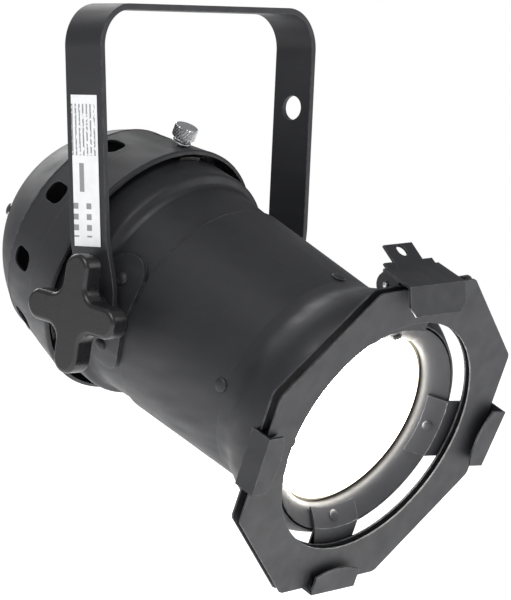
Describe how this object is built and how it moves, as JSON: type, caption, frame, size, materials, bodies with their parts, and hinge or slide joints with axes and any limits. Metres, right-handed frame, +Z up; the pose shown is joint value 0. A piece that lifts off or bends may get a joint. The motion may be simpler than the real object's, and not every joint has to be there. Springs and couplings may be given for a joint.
{
  "type": "theatre spotlight",
  "caption": "Black theatre can spotlight in a flat-bar yoke with clamping knobs, vented rear cap, reflector lamp, and a colour frame held in nose clips.",
  "frame": {"origin": "centre of the clamp hole on the top face of the yoke's bar, from which the lantern hangs", "axes": "+Z up, out of the clamp hole; the light points to -Y and down; +X along the pivot axis, to the right seen from behind"},
  "size_m": [0.1709, 0.271, 0.2797],
  "materials": {
    "black_paint": "satin powder coat",
    "black_plastic": "semi-gloss moulded",
    "zinc": "bright zinc plate",
    "dark_steel": "blackened",
    "spring_steel": "bright",
    "ceramic": "unglazed",
    "brass": "plain",
    "silvered_glass": "mirror-coated glass",
    "lamp_glass": "lit frosted glass",
    "label_paper": "blank printed label"
  },
  "bodies": {
    "yoke_frame": {"yoke": "black_paint", "rating_label": "label_paper"},
    "can": {"rear_body": "black_paint", "front_barrel": "black_paint", "pivot_plate_left": "black_paint", "pivot_plate_right": "black_paint", "pivot_bolt_left": "dark_steel", "pivot_bolt_right": "dark_steel", "pivot_spacer_left": "dark_steel", "pivot_spacer_right": "dark_steel", "pivot_washer_left": "zinc", "pivot_washer_right": "zinc", "plate_rivet_left_upper": "black_paint", "plate_rivet_left_lower": "black_paint", "plate_rivet_right_upper": "black_paint", "plate_rivet_right_lower": "black_paint", "barrel_rivet_right": "black_paint", "barrel_rivet_top": "black_paint", "barrel_rivet_left": "black_paint", "barrel_rivet_bottom": "black_paint", "cap_lug_top": "dark_steel", "cap_lug_left": "dark_steel", "cap_lug_right": "dark_steel", "lamp_ring": "black_paint", "colour_frame": "black_paint", "frame_clip_right": "black_paint", "frame_clip_left": "black_paint", "frame_clip_bottom": "black_paint", "clip_rivet_right": "black_paint", "clip_rivet_left": "black_paint", "clip_rivet_bottom": "black_paint", "clip_rivet_top": "black_paint", "latch_bracket": "black_paint", "latch_pin": "zinc", "latch_spring": "spring_steel"},
    "cap": {"rear_cap": "black_paint", "thumb_screw_washer": "zinc", "cable_gland_body": "black_plastic", "cable_gland_nut": "black_plastic", "cable_gland_locknut": "black_plastic", "lampholder": "ceramic", "lampholder_bracket": "spring_steel", "bracket_rivet_right": "black_paint", "bracket_rivet_left": "black_paint", "terminal_block": "ceramic"},
    "screw": {"thumb_screw": "zinc"},
    "lamp": {"lamp_lens": "lamp_glass", "lamp_reflector": "silvered_glass", "lamp_base": "brass"},
    "left_knob": {"knob_left": "black_plastic"},
    "right_knob": {"knob_right": "black_plastic"},
    "latch": {"frame_latch": "black_paint"}
  },
  "joints": [
    {"name": "can_tilt", "type": "hinge", "parent": "yoke_frame", "child": "can", "pos_m": [0, 0, -0.147], "axis": [1, 0, 0], "range_deg": [-60, 74]},
    {"name": "cap_slide", "type": "slide", "parent": "can", "child": "cap", "axis": [0, 0.8988, 0.4384], "range_m": [0, 0.02]},
    {"name": "thumb_screw_turn", "type": "hinge", "parent": "cap", "child": "screw", "pos_m": [0, 0.01013, -0.07196], "axis": [0, -0.4384, 0.8988], "continuous": true},
    {"name": "lamp_turn", "type": "hinge", "parent": "cap", "child": "lamp", "pos_m": [0, -0.00131, -0.1443], "axis": [0, 0.8988, 0.4384], "continuous": true},
    {"name": "left_knob_turn", "type": "hinge", "parent": "can", "child": "left_knob", "pos_m": [-0.075, 0, -0.147], "axis": [-1, 0, 0], "continuous": true},
    {"name": "right_knob_turn", "type": "hinge", "parent": "can", "child": "right_knob", "pos_m": [0.075, 0, -0.147], "axis": [1, 0, 0], "continuous": true},
    {"name": "latch_lift", "type": "hinge", "parent": "can", "child": "latch", "pos_m": [-0.004, -0.14266, -0.12824], "axis": [-0.9986, 0.0229, -0.047], "range_deg": [0, 55], "stiffness_Nm_per_rad": 0.03, "springref_deg": -22.92}
  ]
}
